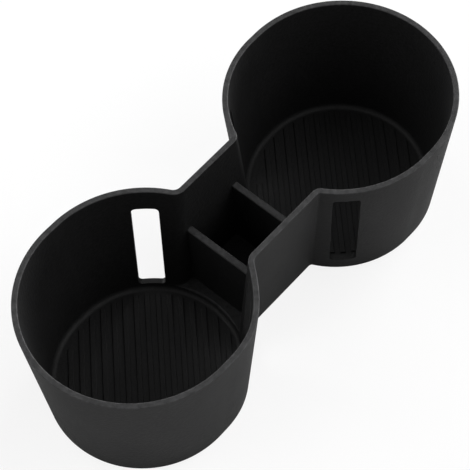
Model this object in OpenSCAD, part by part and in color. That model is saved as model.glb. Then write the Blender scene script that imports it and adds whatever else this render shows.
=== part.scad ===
// Double cup holder insert for a car's console, moulded in one piece.
// Two tapered cups are joined by a narrower neck with flat walls. Two low
// cross walls stand in the neck and leave a small compartment between them.
// Each cup has two upright windows beside the neck and a ribbed floor, and
// the left cup's wall is flattened on the near side, beside the neck.
// Millimetres. X runs along the insert, +Y is the far side, Z is up,
// and the insert rests on the plane Z = 0.

/* [Cups] */
// Height from the resting plane to the rim
height = 64.8; // [45:0.1:90]
// Outside radius of a cup at its rim
rim_radius = 45.1; // [40:0.1:52]
// Outside radius of a cup at its base
base_radius = 39.3; // [36:0.1:44]
// Distance between the middles of the two cups
cup_spacing = 117.2; // [110:0.1:130]
// Straight stretch that makes each cup a little longer than wide
cup_flat = 3.6; // [1:0.1:8]
// Turn of the left cup's flattened side away from the neck's line, in degrees
panel_turn = 38.5; // [33:0.5:50]
// Depth of the flattened side inside the round of the cup, at the base
panel_low = 0.4; // [0.2:0.1:1]
// Depth of the flattened side inside the round of the cup, at the rim
panel_high = 2.1; // [0.5:0.1:3]

/* [Walls] */
// Thickness of the side walls
wall = 2.3; // [1.6:0.1:3.2]
// Thickness of the cup floors, without their ribs
floor_thick = 2.3; // [1.6:0.1:4]
// Height of the neck's floor above the resting plane
neck_floor = 4.5; // [3.4:0.1:8]
// Rounding between wall and floor inside a cup
floor_round = 2.3; // [1:0.1:4]
// Rounding at the foot of the neck's walls, inside
neck_round = 0.9; // [0.4:0.1:2]
// Rounding of the rim's edges
rim_round = 0.4; // [0.3:0.05:0.75]
// Rounding of the edge round the base
base_round = 0.8; // [0.3:0.1:2]

/* [Neck] */
// Half width of the neck at its base
neck_base = 16.75; // [14:0.05:20]
// Half width of the neck at the rim on the near side
neck_near = 22.7; // [18:0.1:26]
// Half width of the neck at the rim on the far side
neck_far = 19.2; // [17:0.1:26]
// Rounding of the folds between neck and left cup, outside
fold_round_left = 3.4; // [1:0.1:5]
// Rounding of the folds between neck and right cup, outside
fold_round_right = 1.6; // [1:0.1:5]

/* [Cross walls] */
// Thickness of each cross wall
cross_thick = 3.2; // [2:0.1:5]
// Height of the cross walls' top above the resting plane
cross_top = 38.6; // [20:0.1:50]
// Distance between the middles of the cross walls
cross_spacing = 26.8; // [18:0.1:34]
// Shift of the compartment from the insert's middle, along X
cross_shift = -0.7; // [-4:0.1:4]
// Rounding of the cross walls' top edges
cross_round = 0.5; // [0.2:0.1:1.2]

/* [Windows] */
// Width of each window
window_width = 10.8; // [6:0.1:14]
// Height of the windows' sill above the resting plane
window_sill = 6.6; // [5:0.1:20]
// Distance from the windows' top up to the rim
window_drop = 8.8; // [5:0.1:20]
// Corner radius of the windows
window_round = 1.2; // [0.5:0.1:4]
// Turn of the left cup's windows away from the neck's line, in degrees
window_turn_left = 41.6; // [41:0.1:60]
// Turn of the right cup's windows away from the neck's line, in degrees
window_turn_right = 44.3; // [41:0.1:60]

/* [Floor ribs] */
// Distance from one rib to the next
rib_pitch = 4.5; // [3:0.1:8]
// Width of each rib
rib_width = 2.2; // [1:0.1:4]
// Height of the ribs above the cup floors
rib_height = 0.6; // [0.3:0.05:1.5]
// Gap between the ribbed area and the foot of the rounding
rib_margin = 1.4; // [0.5:0.1:6]
// Direction of the ribs from the insert's length, in degrees
rib_turn = 45; // [0:5:90]

/* [Hidden] */
black = [0.1, 0.1, 0.11];
// overrun of cuts past the faces that they open
over = 1;
// depth to which a joined piece reaches into what carries it
sunk = wall / 2;
$fn = 72;
// fineness of the small roundings
small_fn = 20;
// flat steps in each rounding of the outer edges
round_steps = 4;
arc_mid = (cup_spacing - cup_flat) / 2;
cross_left = cross_shift - cross_spacing / 2;
cross_right = cross_shift + cross_spacing / 2;
well_base = base_radius - wall;
well_rim = rim_radius - wall;
panel_base = base_radius - panel_low;
panel_rim = rim_radius - panel_high;
window_top = height - window_drop;

// Half width at height z of a face that leans from r0 at the base to r1 at the rim
function face_at(r0, r1, z) = r0 + (r1 - r0) * z / height;
function lean(r0, r1) = atan((r1 - r0) / height);
// Middle of a rounding of radius e, at height z, inside such a face
function inside_mid(r0, r1, z, e) = face_at(r0, r1, z) - e / cos(lean(r0, r1));
// Middle of a rounding of radius e, at height z, outside such a face
function outside_mid(r0, r1, z, e) = face_at(r0, r1, z) + e / cos(lean(r0, r1));

// Points of a rounding of radius e about mid, from one angle to another
function round_points(mid, e, from, to) =
    [for (i = [0 : round_steps]) mid + e * turned(from + (to - from) * i / round_steps)];
function turned(a) = [cos(a), sin(a)];

// Half section of a solid with a leaning face, rounded at the base and the rim
module body_half(r0, r1) {
    tilt = lean(r0, r1);
    low = inside_mid(r0, r1, base_round, base_round);
    high = inside_mid(r0, r1, height - rim_round, rim_round);
    polygon(concat(
        [[0, 0]],
        round_points([low, base_round], base_round, -90, -tilt),
        round_points([high, height - rim_round], rim_round, -tilt, 90),
        [[0, height]]
    ));
}

// Half section of the hollow inside such a face: foot is its floor's height,
// e the rounding there, and the rim's inner edge is rounded. The cut runs on
// above the rim to its mouth, higher for the neck than for the cups.
module hollow_half(r0, r1, foot, e) {
    tilt = lean(r0, r1);
    low = inside_mid(r0, r1, foot + e, e);
    lip = outside_mid(r0, r1, height - rim_round, rim_round);
    touch = height - rim_round * (1 - sin(tilt));
    mouth = foot + height;
    polygon([
        [0, foot],
        [low, foot],
        [low + e * cos(tilt), foot + e * (1 - sin(tilt))],
        [face_at(r0, r1, mouth), mouth],
        [0, mouth]
    ]);
    translate([low, foot + e])
        circle(r = e, $fn = small_fn);
    difference() {
        translate([0, touch])
            square([lip, mouth - touch]);
        translate([lip, height - rim_round])
            circle(r = rim_round, $fn = small_fn);
    }
}

// Stands a section up in the YZ plane and draws it out along X
module along_x(from, to) {
    translate([from, 0, 0])
        rotate([90, 0, 90])
            linear_extrude(to - from)
                children();
}

// An oval about a cup's middle: two half turns and a straight stretch between
module cup_oval(side) {
    translate([side * cup_spacing / 2, 0, 0]) {
        translate([cup_flat / 2, 0, 0])
            rotate([0, 0, -90])
                rotate_extrude(angle = 180)
                    children();
        translate([-cup_flat / 2, 0, 0])
            rotate([0, 0, 90])
                rotate_extrude(angle = 180)
                    children();
        along_x(-cup_flat / 2, cup_flat / 2) {
            children();
            mirror([1, 0])
                children();
        }
    }
}

// Cuts the left cup's flattened side: the first child is the round cup, the
// second the half section whose face that side takes
module flatten() {
    intersection() {
        children(0);
        translate([-arc_mid, 0, 0])
            rotate([0, 0, -90 - panel_turn])
                along_x(-cup_spacing, cup_spacing) {
                    children(1);
                    translate([-cup_spacing, 0])
                        square([cup_spacing, 2 * height]);
                }
    }
}

module neck_body() {
    along_x(-arc_mid, arc_mid) {
        body_half(neck_base, neck_far);
        mirror([1, 0])
            body_half(neck_base, neck_near);
    }
}

module neck_hollow() {
    along_x(-arc_mid, arc_mid) {
        hollow_half(neck_base - wall, neck_far - wall, neck_floor, neck_round);
        mirror([1, 0])
            hollow_half(neck_base - wall, neck_near - wall, neck_floor, neck_round);
    }
}

// A fold's rounding is a round bar outside the corner, against wall and cup.
// This is the place of its axis at height z, for the near or far half width
// of the neck (neck_top) and a rounding r, taken from the right cup's middle.
// The cup's wall there is either round or the flattened side.
function fold_y(neck_top, z, r) = face_at(neck_base, neck_top, z) + r;
function fold_x(neck_top, z, r, flattened) =
    flattened ? fold_x_flat(neck_top, z, r) : fold_x_round(neck_top, z, r);
function fold_x_round(neck_top, z, r) =
    -sqrt(pow(face_at(base_radius, rim_radius, z) + r, 2) - pow(fold_y(neck_top, z, r), 2));
function fold_x_flat(neck_top, z, r) =
    (fold_y(neck_top, z, r) * sin(panel_turn) - face_at(panel_base, panel_rim, z) - r) / cos(panel_turn);

// Runs children along a fold's axis: z is the height above the base along it
module on_fold(neck_top, r, flattened) {
    x0 = fold_x(neck_top, 0, r, flattened);
    y0 = fold_y(neck_top, 0, r);
    dx = fold_x(neck_top, height, r, flattened) - x0;
    dy = fold_y(neck_top, height, r) - y0;
    translate([x0, y0, 0])
        rotate([0, 0, atan2(dy, dx)])
            rotate([0, atan2(norm([dx, dy]), height), 0])
                rotate([0, 0, -atan2(dy, dx)])
                    children();
}

// Kite between the bar's axis, its touching points and the fold's corner
module fold_kite(neck_top, r, reach, flattened) {
    round_turn = atan2(fold_y(neck_top, height, r), -fold_x(neck_top, height, r, false));
    turn = flattened ? panel_turn : round_turn;
    deep = r + reach;
    corner = deep / cos((90 - turn) / 2);
    polygon([
        [0, 0],
        [0, -deep],
        corner * [sin((90 - turn) / 2), -cos((90 - turn) / 2)],
        deep * [sin(90 - turn), -cos(90 - turn)]
    ]);
}

// The wedge that fills a fold out to the round bar of radius r
module fold_fill(neck_top, r, flattened) {
    intersection() {
        on_fold(neck_top, r, flattened)
            translate([0, 0, -rim_radius])
                linear_extrude(height + 2 * rim_radius)
                    difference() {
                        fold_kite(neck_top, r, sunk, flattened);
                        circle(r = r);
                    }
        fold_span(0, height);
    }
}

// The wedge that the hollow gains, so that the wall keeps its thickness there
module fold_relief(neck_top, r, flattened) {
    intersection() {
        on_fold(neck_top, r, flattened)
            translate([0, 0, -rim_radius])
                linear_extrude(height + 2 * rim_radius)
                    difference() {
                        fold_kite(neck_top, r, 2 * wall, flattened);
                        circle(r = r + wall);
                    }
        fold_span(neck_floor, height + over);
    }
}

// A block round the right cup's far fold, between two heights
module fold_span(from, to) {
    translate([-rim_radius, 0, from])
        cube([rim_radius, rim_radius, to - from]);
}

// Places children at the four folds: the right cup's far fold is the pattern
module at_fold(side, far) {
    mirror([side < 0 ? 1 : 0, 0, 0])
        mirror([0, far ? 0 : 1, 0])
            translate([arc_mid, 0, 0])
                children();
}

module window(side, turn) {
    inner = [window_width - 2 * window_round, window_top - window_sill - 2 * window_round];
    translate([side * arc_mid, 0, 0])
        rotate([0, 0, turn])
            along_x(well_base - over, rim_radius + over)
                translate([-inner[0] / 2, window_sill + window_round]) {
                    translate([-window_round, 0])
                        square(inner + [2 * window_round, 0]);
                    translate([0, -window_round])
                        square(inner + [0, 2 * window_round]);
                    for (x = [0, inner[0]], y = [0, inner[1]])
                        translate([x, y])
                            circle(r = window_round, $fn = small_fn);
                }
}

// A low wall across the neck, rounded along its top edges
module cross_wall(x) {
    flat = cross_thick - 2 * cross_round;
    low = floor_thick / 2;
    intersection() {
        along_x(x - cross_thick, x + cross_thick)
            polygon([
                [sunk - neck_base, low],
                [neck_base - sunk, low],
                [neck_far - sunk, height],
                [sunk - neck_near, height]
            ]);
        translate([x, rim_radius, 0])
            rotate([90, 0, 0])
                linear_extrude(2 * rim_radius) {
                    translate([-cross_thick / 2, 0])
                        square([cross_thick, cross_top - cross_round]);
                    translate([-flat / 2, 0])
                        square([flat, cross_top]);
                    for (s = [-1, 1])
                        translate([s * flat / 2, cross_top - cross_round])
                            circle(r = cross_round, $fn = small_fn);
                }
    }
}

// Parallel ribs on one cup's floor, trimmed to an oval inside its rounding
module floor_ribs(side) {
    foot = inside_mid(well_base, well_rim, floor_thick + floor_round, floor_round);
    edge = foot - rib_margin;
    mid = -side * cup_spacing / 2 * sin(rib_turn);
    low = floor_thick / 2;
    reach = edge + cup_flat;
    intersection() {
        rotate([0, 0, rib_turn])
            for (i = [ceil((mid - edge) / rib_pitch) : floor((mid + edge) / rib_pitch)])
                translate([side * cup_spacing / 2 * cos(rib_turn) - reach, i * rib_pitch - rib_width / 2, low])
                    cube([2 * reach, rib_width, floor_thick + rib_height - low]);
        cup_oval(side)
            square([edge, height]);
    }
}

module cup_holder() {
    color(black) {
        difference() {
            union() {
                flatten() {
                    cup_oval(-1)
                        body_half(base_radius, rim_radius);
                    body_half(panel_base, panel_rim);
                }
                cup_oval(1)
                    body_half(base_radius, rim_radius);
                neck_body();
                at_fold(-1, false)
                    fold_fill(neck_near, fold_round_left, true);
                at_fold(-1, true)
                    fold_fill(neck_far, fold_round_left, false);
                at_fold(1, false)
                    fold_fill(neck_near, fold_round_right, false);
                at_fold(1, true)
                    fold_fill(neck_far, fold_round_right, false);
            }
            flatten() {
                cup_oval(-1)
                    hollow_half(well_base, well_rim, floor_thick, floor_round);
                hollow_half(panel_base - wall, panel_rim - wall, floor_thick, floor_round);
            }
            cup_oval(1)
                hollow_half(well_base, well_rim, floor_thick, floor_round);
            neck_hollow();
            at_fold(-1, false)
                fold_relief(neck_near, fold_round_left, true);
            at_fold(-1, true)
                fold_relief(neck_far, fold_round_left, false);
            at_fold(1, false)
                fold_relief(neck_near, fold_round_right, false);
            at_fold(1, true)
                fold_relief(neck_far, fold_round_right, false);
            for (turn = [-window_turn_left, window_turn_left])
                window(-1, turn);
            for (turn = [180 - window_turn_right, 180 + window_turn_right])
                window(1, turn);
        }
        cross_wall(cross_left);
        cross_wall(cross_right);
        floor_ribs(-1);
        floor_ribs(1);
    }
}

cup_holder();
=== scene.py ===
# Double cup holder insert: the moulded body with its finish, and the plain
# white studio that it stands in. Metres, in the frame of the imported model.
import math

import bmesh
import bpy
from mathutils import Matrix, Vector


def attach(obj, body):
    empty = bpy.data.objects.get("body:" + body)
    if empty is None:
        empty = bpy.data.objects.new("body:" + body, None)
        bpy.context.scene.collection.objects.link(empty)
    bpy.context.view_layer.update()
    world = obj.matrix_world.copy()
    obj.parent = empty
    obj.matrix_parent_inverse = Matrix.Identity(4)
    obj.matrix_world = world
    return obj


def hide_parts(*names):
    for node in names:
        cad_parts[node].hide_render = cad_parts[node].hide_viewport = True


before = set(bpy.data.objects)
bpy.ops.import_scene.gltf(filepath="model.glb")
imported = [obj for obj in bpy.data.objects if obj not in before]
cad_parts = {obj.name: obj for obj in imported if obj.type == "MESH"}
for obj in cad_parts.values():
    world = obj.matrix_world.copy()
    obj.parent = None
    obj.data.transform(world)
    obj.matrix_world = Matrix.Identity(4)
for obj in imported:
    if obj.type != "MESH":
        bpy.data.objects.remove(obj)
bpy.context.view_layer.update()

# Sizes of the moulding in millimetres
MM = 0.001
HEIGHT = 64.8
RIM_RADIUS, BASE_RADIUS = 45.1, 39.3
# A cup's middle along X, half the straight side between its two half circles, and the
# middle of the half circle next to the neck
MIDDLE, HALF_FLAT = 58.6, 1.8
ARC = MIDDLE - HALF_FLAT
WALL, FLOOR, NECK_FLOOR = 2.3, 2.3, 4.5
WELL_ROUND, FOOT_ROUND, RIM_ROUND, BASE_ROUND, LEDGE_ROUND = 2.3, 0.9, 0.4, 0.8, 0.7
# Half the neck's width at the base, and at the rim on its near and its far side
NECK_BASE, NECK_NEAR, NECK_FAR = 16.75, 22.7, 19.2
FOLD_LEFT, FOLD_RIGHT = 3.4, 1.6
# The left cup's flattened near side: its turn, its depth at the base and at the rim, and
# the direction from the cup's middle in which the full round begins again
PANEL_TURN, PANEL_LOW, PANEL_HIGH = math.radians(38.5), 0.4, 2.1
PANEL_REACH = math.radians(78)
# The line across a cup's mouth leaves and meets the wall over one part in so many
MOUTH_EASE = 4
# The two cross walls: places along X, and sizes, with the foot inside the neck's floor
CROSS_AT = (-14.1, 12.7)
CROSS_THICK, CROSS_TOP, CROSS_ROUND, CROSS_FOOT = 3.2, 38.6, 0.5, 3.45
WINDOW_WIDTH, WINDOW_ROUND = 10.8, 1.8
# Each window's cup, direction from the cup's middle in degrees, sill and top
WINDOWS = {
    "left_near": (-1, -42.3, 6.6, 56.0),
    "left_far": (-1, 41.6, 5.0, 54.4),
    "right_near": (1, 180 + 44.1, 7.4, 58.6),
    "right_far": (1, 180 - 44.3, 6.6, 56.0),
}
# The floors' ribs, which stand on a cup's floor and are let into it
RIB_PITCH, RIB_WIDTH, RIB_HEIGHT, RIB_REACH, RIB_TURN = 4.5, 2.2, 0.6, 33.7, 45.0
RIB_SUNK, RIB_ROUND = 0.3, 0.25
EDGE_ROUND = 0.18

# Fineness of the mesh: steps along each stretch of the outline, rows up a wall, and steps
# in a quarter turn, in an eased edge and in a rib's edge
NECK_STEPS, FOLD_STEPS, CUP_STEPS, END_STEPS, MOUTH_STEPS = 4, 6, 24, 36, 24
WALL_ROWS, TURN_ROWS, EDGE_STEPS, RIB_STEPS = 8, 5, 3, 3
QUARTER_TURN = [math.pi / 2 * step / TURN_ROWS for step in range(TURN_ROWS + 1)]
# Edges that turn by less than this are shaded smooth
CREASE = math.radians(35)

# Paler colour, from 0 to 1, for handling wear and painted highlight on rims, tops and eased
# edges, and for painted light alone on the ledges beside the cups. A face whose normal rises
# above LEVEL counts as level, and one narrower than NARROW millimetres as part of an edge
WEAR_HIGHLIGHT_RIM, WEAR_HIGHLIGHT_TOP, WEAR_HIGHLIGHT_EDGE, PAINTED_LIGHT_LEDGE = 1.0, 0.75, 0.6, 0.4
LEVEL, NARROW = 0.99, 0.3

# Camera, as the photograph was taken
VIEW_TURN = math.radians(-46.799)
VIEW_RISE = math.radians(58.677)
VIEW_ROLL = math.radians(-2.635)
VIEW_TARGET = Vector((0.012155, 0.016263, 0.0))
VIEW_DISTANCE = 0.74734
LENS_MM = 138.25
SENSOR_MM = 36.0
CLIP_NEAR, CLIP_FAR = 0.01, 20.0

# Finish of the moulded plastic
BLACK = (0.003, 0.003, 0.0031, 1.0)
BLACK_PALE = (0.0075, 0.0075, 0.0077, 1.0)
# Paler colour where the edges are worn, also used as a painted highlight on rims, edges and
# ledges
PALE_WEAR_AND_HIGHLIGHT = (0.045, 0.045, 0.046, 1.0)
GLOSS_INDEX = 1.26
ROUGHNESS, ROUGHNESS_SPREAD = 0.6, 0.05
GRAIN_HEIGHT, GRAIN_STRENGTH = 0.00003, 0.35
PIT_HEIGHT, PIT_STRENGTH = 0.00016, 0.8
# Each noise's scale, detail and roughness, and the band that nearly all of a noise lies in
CLOUDS = (38.0, 3.0, 0.55)
GRAIN = (2600.0, 2.0, 0.6)
PITS = (850.0, 3.0, 0.6)
PATCHES = (420.0, 4.0, 0.6)
NOISE_LOW, NOISE_HIGH = 0.35, 0.65
# Share of the wear and painted highlight that is left in its thinnest patches
PATCH_LEAST = 0.35

# Studio: a white floor and walls, and soft lamps given by direction and height above the
# horizon, both in degrees, and strength, where 1 lights a facing surface plainly
WHITE = (1.0, 1.0, 1.0, 1.0)
FLOOR_HALF = 6.0
FLOOR_WHITE = (0.8, 0.8, 0.8, 1.0)
FLOOR_GLOW = 1.04
FLOOR_SHADOW_SHARE = 0.2
LAMP_SPREAD = math.radians(40)
LAMPS = {
    "lamp_right": (0, 12, 1.6),
    "lamp_far": (90, 12, 0.6),
    "lamp_far_left": (135, 42, 0.37),
    "lamp_near": (270, 42, 0.19),
    "lamp_key": (315, 42, 0.43),
}


def emptied_nodes(owner):
    """The node tree of a material or a world, emptied."""
    owner.use_nodes = True
    owner.node_tree.nodes.clear()
    return owner.node_tree


def link(tree, source, target):
    tree.links.new(source, target)


def feed(tree, value, target):
    """Give an input its value, which is plain or the output of another node."""
    if isinstance(value, bpy.types.NodeSocket):
        link(tree, value, target)
    else:
        target.default_value = value


def add(tree, kind, **values):
    """A node of that kind, with its attributes and inputs set by name."""
    made = tree.nodes.new(kind)
    for name, value in values.items():
        if hasattr(made, name):
            setattr(made, name, value)
        else:
            feed(tree, value, made.inputs[name.replace("_", " ")])
    return made


def maths(tree, operation, *values):
    """The result of a maths node with those values."""
    made = add(tree, "ShaderNodeMath", operation=operation)
    for value, target in zip(values, made.inputs):
        feed(tree, value, target)
    return made.outputs[0]


def moulded_black():
    """Satin black plastic with a fine grain, small pits, pale specks and a faintly cloudy
    sheen, paler where the body is worn and where highlights are painted on."""
    material = bpy.data.materials.new("moulded_black")
    tree = emptied_nodes(material)
    place = add(tree, "ShaderNodeTexCoord").outputs["Object"]

    def noise(pattern):
        scale, detail, roughness = pattern
        return add(tree, "ShaderNodeTexNoise", Vector=place, Scale=scale, Detail=detail,
                   Roughness=roughness).outputs["Fac"]

    def spread(value, **ends):
        return add(tree, "ShaderNodeMapRange", Value=value, **ends).outputs["Result"]

    def mixed(share, first, second):
        return add(tree, "ShaderNodeMix", data_type="RGBA", Factor=share, A=first,
                   B=second).outputs["Result"]

    sheen = spread(noise(CLOUDS), To_Min=ROUGHNESS - ROUGHNESS_SPREAD,
                   To_Max=ROUGHNESS + ROUGHNESS_SPREAD)
    pits = noise(PITS)
    pitted = add(tree, "ShaderNodeBump", Strength=PIT_STRENGTH, Distance=PIT_HEIGHT,
                 Height=pits)
    grained = add(tree, "ShaderNodeBump", Strength=GRAIN_STRENGTH, Distance=GRAIN_HEIGHT,
                  Height=noise(GRAIN), Normal=pitted.outputs["Normal"])
    speckle = spread(pits, From_Min=NOISE_LOW, From_Max=NOISE_HIGH)
    patches = spread(noise(PATCHES), From_Min=NOISE_LOW, From_Max=NOISE_HIGH,
                     To_Min=PATCH_LEAST)
    # Paler colour where the body is worn, also a painted highlight on rims, edges and ledges
    wear_and_highlight_share = add(tree, "ShaderNodeAttribute", attribute_name="wear_and_highlight").outputs["Fac"]
    colour = mixed(maths(tree, "MULTIPLY", wear_and_highlight_share, patches),
                   mixed(speckle, BLACK, BLACK_PALE), PALE_WEAR_AND_HIGHLIGHT)
    shader = add(tree, "ShaderNodeBsdfPrincipled", Base_Color=colour, IOR=GLOSS_INDEX,
                 Roughness=sheen, Normal=grained.outputs["Normal"])
    add(tree, "ShaderNodeOutputMaterial", Surface=shader.outputs["BSDF"])
    return material


def blend(low, high, share):
    return low + (high - low) * share


def leaning(base, rim, z):
    """Distance of a leaning face at height z."""
    return blend(base, rim, z / HEIGHT)


def flattened(direction, touch, slope, full):
    """Radius of the left cup's near side in a direction: from the fold's touching point,
    given as direction and radius, it eases back into the full round."""
    start, radius = touch
    share = (direction - start) / (PANEL_REACH - start)
    if share >= 1:
        return full
    square, cube = share * share, share ** 3
    return (radius * (1 - 3 * square + 2 * cube)
            + slope * (PANEL_REACH - start) * (share - 2 * square + cube)
            + full * (3 * square - 2 * cube))


def quarter(side, near, z, inset):
    """One quarter of the outline at height z, set in from the outside by inset: from the
    neck's middle, round the fold and on to the cup's far end. A row of points, each with
    x, y, the stretch that it lies on and its share in a further inset of the neck."""
    radius = leaning(BASE_RADIUS, RIM_RADIUS, z)
    neck = leaning(NECK_BASE, NECK_NEAR if near else NECK_FAR, z)
    fold = FOLD_LEFT if side < 0 else FOLD_RIGHT
    panel = side < 0 and near
    axis_y = neck + fold
    if panel:
        reach = radius - leaning(PANEL_LOW, PANEL_HIGH, z)
        axis_x = ARC - (reach + fold - axis_y * math.sin(PANEL_TURN)) / math.cos(PANEL_TURN)
        turn = PANEL_TURN
    else:
        axis_x = ARC - math.sqrt((radius + fold) ** 2 - axis_y ** 2)
        turn = math.atan2(axis_y, ARC - axis_x)
    bar = fold + inset
    row = []
    for step in range(NECK_STEPS):
        row.append((axis_x * step / NECK_STEPS, neck - inset, "neck", 1.0))
    for step in range(FOLD_STEPS):
        angle = blend(-math.pi / 2, -turn, step / FOLD_STEPS)
        row.append((axis_x + bar * math.cos(angle), axis_y + bar * math.sin(angle),
                    "fold", 1 - step / FOLD_STEPS))
    touch_x = ARC - (axis_x + bar * math.cos(turn))
    touch_y = axis_y - bar * math.sin(turn)
    start = math.atan2(touch_y, touch_x)
    reach = math.hypot(touch_x, touch_y)
    slope = reach * math.tan(start - turn)
    for step in range(CUP_STEPS):
        angle = blend(start, math.pi / 2, step / CUP_STEPS)
        if panel:
            out = flattened(angle, (start, reach), slope, radius - inset)
        else:
            out = radius - inset
        row.append((ARC - out * math.cos(angle), out * math.sin(angle), "cup", 0.0))
    for step in range(END_STEPS + 1):
        angle = blend(math.pi / 2, 0, step / END_STEPS)
        row.append((MIDDLE + HALF_FLAT + (radius - inset) * math.cos(angle),
                    (radius - inset) * math.sin(angle), "cup", 0.0))
    return [(side * x, -y if near else y, kind, share) for x, y, kind, share in row]


def outline(z, inset, foot=0.0):
    """The whole outline at height z, anticlockwise from the neck's middle on the near side.
    foot is a further inset for the neck's walls, which fades out round the folds."""

    def eased(side, near):
        row = quarter(side, near, z, inset)
        if foot:
            plain = quarter(side, near, z, inset + foot)
            row = [(blend(a[0], b[0], a[3]), blend(a[1], b[1], a[3]), a[2], a[3])
                   for a, b in zip(row, plain)]
        return row

    near_right, far_right = eased(1, True), eased(1, False)
    far_left, near_left = eased(-1, False), eased(-1, True)
    return near_right + far_right[-2:0:-1] + far_left + near_left[-2:0:-1]


def shell_rows():
    """Height, inset and foot inset of each row, from the underside's edge up the outside,
    over the rim and down the inside to the neck's floor."""
    rows = [(BASE_ROUND * (1 - math.cos(a)), BASE_ROUND * (1 - math.sin(a)), 0.0)
            for a in QUARTER_TURN]
    low, high = BASE_ROUND, HEIGHT - RIM_ROUND
    rows += [(blend(low, high, step / WALL_ROWS), 0.0, 0.0) for step in range(1, WALL_ROWS)]
    rows += [(HEIGHT - RIM_ROUND * (1 - math.sin(a)), RIM_ROUND * (1 - math.cos(a)), 0.0)
             for a in QUARTER_TURN]
    rows += [(HEIGHT - RIM_ROUND * (1 - math.sin(a)), WALL - RIM_ROUND * (1 - math.cos(a)), 0.0)
             for a in reversed(QUARTER_TURN)]
    low = NECK_FLOOR + FOOT_ROUND
    rows += [(blend(high, low, step / WALL_ROWS), WALL, 0.0) for step in range(1, WALL_ROWS)]
    rows += [(NECK_FLOOR + FOOT_ROUND * (1 - math.sin(a)), WALL, FOOT_ROUND * (1 - math.cos(a)))
             for a in QUARTER_TURN]
    return rows


def well_inset(z):
    """How far the rounding at a cup's foot stands in from its wall at height z."""
    rise = max(FLOOR + WELL_ROUND - z, 0.0)
    return WELL_ROUND - math.sqrt(max(WELL_ROUND ** 2 - rise ** 2, 0.0))


def well_rows():
    """Height and ledge easing of each row below the neck's floor: first round the
    ledge's edge, then round the foot of the cup's wall."""
    rows = [(NECK_FLOOR - LEDGE_ROUND * (1 - math.cos(a)), LEDGE_ROUND * (1 - math.sin(a)))
            for a in QUARTER_TURN]
    start, count = math.asin(1 - (NECK_FLOOR - LEDGE_ROUND - FLOOR) / WELL_ROUND), 2 * TURN_ROWS
    for step in range(1, count + 1):
        a = blend(start, math.pi / 2, step / count)
        rows.append((FLOOR + WELL_ROUND * (1 - math.sin(a)), 0.0))
    return rows


def mouth(side, z, easing, first, last):
    """Points across a cup's mouth towards the neck, from its first corner to its last:
    the cup's own round at height z, pushed out by the ledge's easing."""
    arc = side * ARC
    full = leaning(BASE_RADIUS, RIM_RADIUS, z) - WALL - well_inset(z)

    def polar(point):
        x, y = side * (arc - point[0]), point[1]
        return math.atan2(y, x), math.hypot(x, y)

    (from_angle, from_reach), (to_angle, to_reach) = polar(first), polar(last)
    points = []
    for step in range(1, MOUTH_STEPS):
        share = step / MOUTH_STEPS
        angle = blend(from_angle, to_angle, share)
        near_first = max(1 - MOUTH_EASE * share, 0)
        near_last = max(1 - MOUTH_EASE * (1 - share), 0)
        reach = (full + near_first * (from_reach - full) + near_last * (to_reach - full)
                 + easing * (1 - near_first) * (1 - near_last))
        points.append((arc - side * reach * math.cos(angle), reach * math.sin(angle)))
    return points


def ring(shell, points, z):
    """New corners of the shell at those points, at height z."""
    return [shell.verts.new((point[0] * MM, point[1] * MM, z * MM)) for point in points]


def bridge(shell, low, high):
    """A closed band of faces between two rings."""
    for i in range(len(low)):
        j = (i + 1) % len(low)
        shell.faces.new((low[i], low[j], high[j], high[i]))


def sink_well(shell, side, run, edge):
    """A cup's well below the neck's floor. edge is the ring at that floor's height, and run
    numbers its corners on the cup. Gives the corners across the mouth at the top."""
    above, brink = None, None
    for z, easing in well_rows():
        points = outline(z, WALL + well_inset(z))
        across = ring(shell, mouth(side, z, easing, points[run[-1]], points[run[0]]), z)
        if above is None:
            above, brink = [edge[i] for i in run] + across, across
        else:
            row = ring(shell, [points[i] for i in run], z) + across
            bridge(shell, above, row)
            above = row
    shell.faces.new(above)
    return brink


def finished_object(name, shell):
    """Turn the shell into an object of that name in the scene, its faces looking out."""
    bmesh.ops.recalc_face_normals(shell, faces=shell.faces)
    mesh = bpy.data.meshes.new(name)
    shell.to_mesh(mesh)
    shell.free()
    made = bpy.data.objects.new(name, mesh)
    bpy.context.scene.collection.objects.link(made)
    return made


def moulded_shell():
    """The insert's walls and floors as one closed shell, without windows and cross walls."""
    shell = bmesh.new()
    rings = [ring(shell, outline(z, inset, foot), z) for z, inset, foot in shell_rows()]
    for low, high in zip(rings, rings[1:]):
        bridge(shell, low, high)
    shell.faces.new(rings[0][::-1])

    edge, points = rings[-1], outline(NECK_FLOOR, WALL)
    right, left = ([i for i, point in enumerate(points)
                    if point[2] == "cup" and side * point[0] > 0] for side in (1, -1))
    right_brink, left_brink = sink_well(shell, 1, right, edge), sink_well(shell, -1, left, edge)
    near = edge[left[-1]:] + edge[:right[0] + 1]
    far = edge[right[-1]:left[0] + 1]
    shell.faces.new(near + right_brink[::-1] + far + left_brink[::-1])
    return finished_object("moulded_body", shell)


def prism(shell, profile, place):
    """A closed prism in the shell: place says where a profile point lies at end 0 or 1."""
    ends = [[shell.verts.new([c * MM for c in place(point, end)]) for point in profile]
            for end in (0, 1)]
    shell.faces.new(ends[0])
    shell.faces.new(ends[1][::-1])
    for i in range(len(profile)):
        j = (i + 1) % len(profile)
        shell.faces.new((ends[0][i], ends[1][i], ends[1][j], ends[0][j]))


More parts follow.
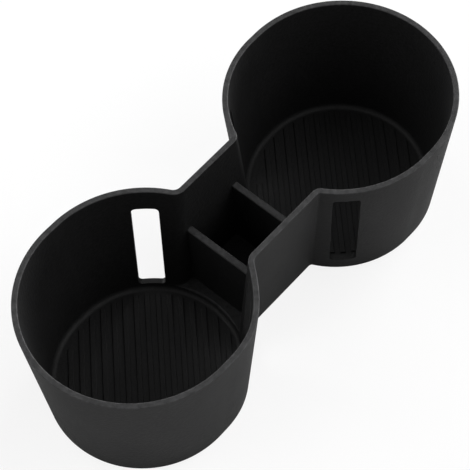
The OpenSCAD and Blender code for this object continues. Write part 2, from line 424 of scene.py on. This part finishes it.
def window_cutters():
    """Four upright blocks with rounded corners, one through each window."""
    half = WINDOW_WIDTH / 2 - WINDOW_ROUND
    shell = bmesh.new()
    for side, turn, sill, top in WINDOWS.values():
        high, low = top - WINDOW_ROUND, sill + WINDOW_ROUND
        corners = ((half, high), (-half, high), (-half, low), (half, low))
        profile = [(x + WINDOW_ROUND * math.cos(a + corner * math.pi / 2),
                    z + WINDOW_ROUND * math.sin(a + corner * math.pi / 2))
                   for corner, (x, z) in enumerate(corners) for a in QUARTER_TURN]
        sine, cosine = math.sin(math.radians(turn)), math.cos(math.radians(turn))

        def place(point, end):
            reach = RIM_RADIUS + WALL if end else BASE_RADIUS - 2 * WALL
            return (side * ARC + cosine * reach - sine * point[0],
                    sine * reach + cosine * point[0], point[1])

        prism(shell, profile, place)
    return finished_object("window_cutters", shell)


def cross_walls():
    """Two low walls across the neck, rounded along the top and let into its sides."""
    half = CROSS_THICK / 2 - CROSS_ROUND
    crown = [(half + CROSS_ROUND * math.cos(a), CROSS_TOP - CROSS_ROUND * (1 - math.sin(a)))
             for a in QUARTER_TURN]
    profile = ([(CROSS_THICK / 2, CROSS_FOOT)] + crown
               + [(-x, z) for x, z in reversed(crown)] + [(-CROSS_THICK / 2, CROSS_FOOT)])
    shell = bmesh.new()
    for middle in CROSS_AT:
        def place(point, end):
            x, z = point
            if end:
                return middle + x, leaning(NECK_BASE, NECK_FAR, z) - WALL / 2, z
            return middle + x, WALL / 2 - leaning(NECK_BASE, NECK_NEAR, z), z

        prism(shell, profile, place)
    return finished_object("cross_walls", shell)


def rib_sizes(side):
    """The sizes of one cup's ribs, in metres and degrees, by their names in the rib tree."""
    depth = RIB_HEIGHT + RIB_SUNK
    lengths = {
        "Middle": side * MIDDLE,
        "Half Flat": HALF_FLAT,
        "Reach": RIB_REACH,
        "Pitch": RIB_PITCH,
        "Width": RIB_WIDTH,
        "Height": depth,
        "Round": RIB_ROUND,
        "Level": FLOOR + RIB_HEIGHT - depth / 2,
    }
    return {**{name: length * MM for name, length in lengths.items()}, "Turn": RIB_TURN}


def rib_tree():
    """Ribs side by side over one cup's floor, each as long as the oval is there."""
    tree = bpy.data.node_groups.new("floor_ribs", "GeometryNodeTree")
    for name, way, kind in (("Geometry", "INPUT", "Geometry"),
                            *((name, "INPUT", "Float") for name in rib_sizes(1)),
                            ("Finish", "INPUT", "Material"),
                            ("Geometry", "OUTPUT", "Geometry")):
        tree.interface.new_socket(name, in_out=way, socket_type="NodeSocket" + kind)
    given = tree.nodes.new("NodeGroupInput").outputs

    def made(kind, **values):
        return add(tree, kind, **values).outputs[0]

    def math_of(operation, *values):
        return maths(tree, operation, *values)

    # Ribs lie along X until the last turn: each has its lane along Y, and the floor's
    # middle and its two half circles are turned back to meet them
    turn = math_of("RADIANS", given["Turn"])
    sine, cosine = math_of("SINE", turn), math_of("COSINE", turn)
    centre = math_of("MULTIPLY", given["Middle"], cosine)
    lane_mid = math_of("MULTIPLY", math_of("MULTIPLY", given["Middle"], sine), -1)
    first = math_of("CEIL", math_of("DIVIDE", math_of("SUBTRACT", lane_mid, given["Reach"]),
                                    given["Pitch"]))
    last = math_of("FLOOR", math_of("DIVIDE", math_of("ADD", lane_mid, given["Reach"]),
                                    given["Pitch"]))
    lane = math_of("MULTIPLY", math_of("ADD", made("GeometryNodeInputIndex"), first),
                   given["Pitch"])
    off = math_of("SUBTRACT", lane, lane_mid)
    side_step = math_of("MULTIPLY", given["Half Flat"], sine)
    end_step = math_of("MULTIPLY", given["Half Flat"], cosine)

    def half_chord(distance):
        square = math_of("SUBTRACT", math_of("POWER", given["Reach"], 2),
                         math_of("MULTIPLY", distance, distance))
        return math_of("SQRT", math_of("MAXIMUM", square, 0))

    high = math_of("ADD", end_step, half_chord(math_of("ADD", off, side_step)))
    low = math_of("ADD", end_step, half_chord(math_of("SUBTRACT", off, side_step)))
    start = made("ShaderNodeCombineXYZ", X=math_of("SUBTRACT", centre, low), Y=lane,
                 Z=given["Level"])
    points = made("GeometryNodePoints", Position=start,
                  Count=math_of("ADD", math_of("SUBTRACT", last, first), 1))
    lines = made("GeometryNodeInstanceOnPoints", Points=points,
                 Instance=made("GeometryNodeCurvePrimitiveLine", End=(1.0, 0.0, 0.0)),
                 Scale=made("ShaderNodeCombineXYZ", X=math_of("ADD", high, low), Y=1.0, Z=1.0))
    section = made("GeometryNodeCurvePrimitiveQuadrilateral", Width=given["Width"],
                   Height=given["Height"])
    section = made("GeometryNodeFilletCurve", mode="POLY", Curve=section, Count=RIB_STEPS,
                   Radius=given["Round"])
    bars = made("GeometryNodeCurveToMesh", Profile_Curve=section, Fill_Caps=True,
                Curve=made("GeometryNodeRealizeInstances", Geometry=lines))
    bars = made("GeometryNodeTransform", Geometry=bars,
                Rotation=made("ShaderNodeCombineXYZ", Z=turn))
    joined = add(tree, "GeometryNodeJoinGeometry", Geometry=given["Geometry"])
    link(tree, bars, joined.inputs["Geometry"])
    whole = made("GeometryNodeRealizeInstances", Geometry=joined.outputs[0])
    whole = made("GeometryNodeSetMaterial", Geometry=whole, Material=given["Finish"])
    link(tree, whole, tree.nodes.new("NodeGroupOutput").inputs[0])
    return tree


def lay_ribs(body, material):
    """Give the body its two ribbed floors."""
    tree = rib_tree()
    slots = {item.name: item.identifier for item in tree.interface.items_tree
             if item.in_out == "INPUT"}
    for name, side in (("ribs_left", -1), ("ribs_right", 1)):
        layer = body.modifiers.new(name, "NODES")
        layer.node_group = tree
        for size, value in rib_sizes(side).items():
            layer[slots[size]] = value
        layer[slots["Finish"]] = material


def wear_and_highlight(face):
    """How much paler a face is painted, for handling wear and painted highlight: the rim's
    edges most, then its flat top, the cross walls' tops and the other eased edges that stand
    out, and, as painted light only, a little the two ledges beside the cups."""
    middle = face.calc_center_median()
    height, level = middle.z, face.normal.z > LEVEL
    if height > (HEIGHT - RIM_ROUND) * MM:
        return WEAR_HIGHLIGHT_TOP if level else WEAR_HIGHLIGHT_RIM
    if level and abs(height - CROSS_TOP * MM) < EDGE_ROUND * MM:
        return WEAR_HIGHLIGHT_EDGE
    # The ledges beside the cups are painted paler: painted light, not wear
    if level and abs(height - NECK_FLOOR * MM) < EDGE_ROUND * MM:
        between = CROSS_AT[0] * MM < middle.x < CROSS_AT[1] * MM
        return 0.0 if between else PAINTED_LIGHT_LEDGE
    width = 2 * face.calc_area() / face.calc_perimeter()
    if width >= NARROW * MM or height < (NECK_FLOOR - LEDGE_ROUND) * MM:
        return 0.0
    bend = sum(edge.calc_face_angle_signed(0) for edge in face.edges)
    return WEAR_HIGHLIGHT_EDGE if bend > 0 else 0.0


def moulded_body(material):
    """The whole moulding: shell, windows, eased edges, cross walls and ribs, in one mesh."""
    body, cutters, walls = moulded_shell(), window_cutters(), cross_walls()

    def combine(name, tool, operation):
        made = body.modifiers.new(name, "BOOLEAN")
        made.operation = operation
        made.solver = "MANIFOLD"
        made.object = tool

    combine("windows", cutters, "DIFFERENCE")
    edges = body.modifiers.new("edges", "BEVEL")
    edges.limit_method = "ANGLE"
    edges.angle_limit = CREASE
    edges.width = EDGE_ROUND * MM
    edges.segments = EDGE_STEPS
    combine("walls", walls, "UNION")
    lay_ribs(body, material)
    whole = bpy.data.meshes.new_from_object(body.evaluated_get(
        bpy.context.evaluated_depsgraph_get()))
    for tool in (cutters, walls):
        bpy.data.objects.remove(tool)
    body.modifiers.clear()
    body.data = whole
    whole.materials.clear()
    whole.materials.append(material)
    shell = bmesh.new()
    shell.from_mesh(whole)
    # Per face share of paler colour: handling wear and painted highlight
    wear_and_highlight_layer = shell.faces.layers.float.new("wear_and_highlight")
    for face in shell.faces:
        face.smooth = True
        face.material_index = 0
        face[wear_and_highlight_layer] = wear_and_highlight(face)
    for edge in shell.edges:
        edge.smooth = edge.calc_face_angle(math.pi) < CREASE
    shell.to_mesh(whole)
    shell.free()
    even = body.modifiers.new("even", "WEIGHTED_NORMAL")
    even.keep_sharp = True
    return body


def white_floor():
    """A broad floor that shows white and keeps a faint shadow of the insert."""
    bpy.ops.mesh.primitive_plane_add(size=2 * FLOOR_HALF)
    floor = bpy.context.object
    floor.name = "studio_floor"
    material = bpy.data.materials.new("white_floor")
    tree = emptied_nodes(material)
    paint = add(tree, "ShaderNodeBsdfDiffuse", Color=FLOOR_WHITE)
    glow = add(tree, "ShaderNodeEmission", Strength=FLOOR_GLOW)
    seen = add(tree, "ShaderNodeLightPath").outputs["Is Camera Ray"]
    shown = add(tree, "ShaderNodeMixShader",
                Fac=maths(tree, "MULTIPLY", seen, 1.0 - FLOOR_SHADOW_SHARE))
    link(tree, paint.outputs[0], shown.inputs[1])
    link(tree, glow.outputs[0], shown.inputs[2])
    add(tree, "ShaderNodeOutputMaterial", Surface=shown.outputs[0])
    floor.data.materials.append(material)


def studio_walls():
    """Plain white all round for whatever is seen directly or in a reflection."""
    world = bpy.data.worlds.new("studio")
    bpy.context.scene.world = world
    tree = emptied_nodes(world)
    path = add(tree, "ShaderNodeLightPath").outputs
    seen = maths(tree, "MAXIMUM", path["Is Camera Ray"], path["Is Glossy Ray"])
    white = add(tree, "ShaderNodeBackground", Color=WHITE, Strength=seen)
    add(tree, "ShaderNodeOutputWorld", Surface=white.outputs[0])


def soft_lamp(name, direction, rise, strength):
    """A broad distant lamp, like a large soft box far off."""
    lamp = bpy.data.lights.new(name, "SUN")
    lamp.angle = LAMP_SPREAD
    lamp.energy = math.pi * strength
    turn, lift = math.radians(direction), math.radians(rise)
    towards = Vector((
        math.cos(turn) * math.cos(lift),
        math.sin(turn) * math.cos(lift),
        math.sin(lift),
    ))
    holder = bpy.data.objects.new(name, lamp)
    holder.rotation_euler = (-towards).to_track_quat("-Z", "Y").to_euler()
    bpy.context.scene.collection.objects.link(holder)


def photo_camera():
    """The camera at the photograph's place, turned and rolled as it was held."""
    back = Vector((
        math.sin(VIEW_TURN) * math.cos(VIEW_RISE),
        -math.cos(VIEW_TURN) * math.cos(VIEW_RISE),
        math.sin(VIEW_RISE),
    ))
    right = Vector((math.cos(VIEW_TURN), math.sin(VIEW_TURN), 0.0))
    up = back.cross(right)
    across = right * math.cos(VIEW_ROLL) + up * math.sin(VIEW_ROLL)
    upward = up * math.cos(VIEW_ROLL) - right * math.sin(VIEW_ROLL)
    lens = bpy.data.cameras.new("photo_camera")
    lens.lens = LENS_MM
    lens.sensor_width = SENSOR_MM
    lens.clip_start = CLIP_NEAR
    lens.clip_end = CLIP_FAR
    camera = bpy.data.objects.new("photo_camera", lens)
    turn = Matrix((across, upward, back)).transposed().to_4x4()
    camera.matrix_world = Matrix.Translation(VIEW_TARGET + back * VIEW_DISTANCE) @ turn
    bpy.context.scene.collection.objects.link(camera)
    bpy.context.scene.camera = camera


photo_camera()
body = moulded_body(moulded_black())
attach(body, "root")
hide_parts("cup_holder")

white_floor()
studio_walls()
for lamp_name, light in LAMPS.items():
    soft_lamp(lamp_name, *light)
bpy.context.scene.view_settings.view_transform = "Standard"
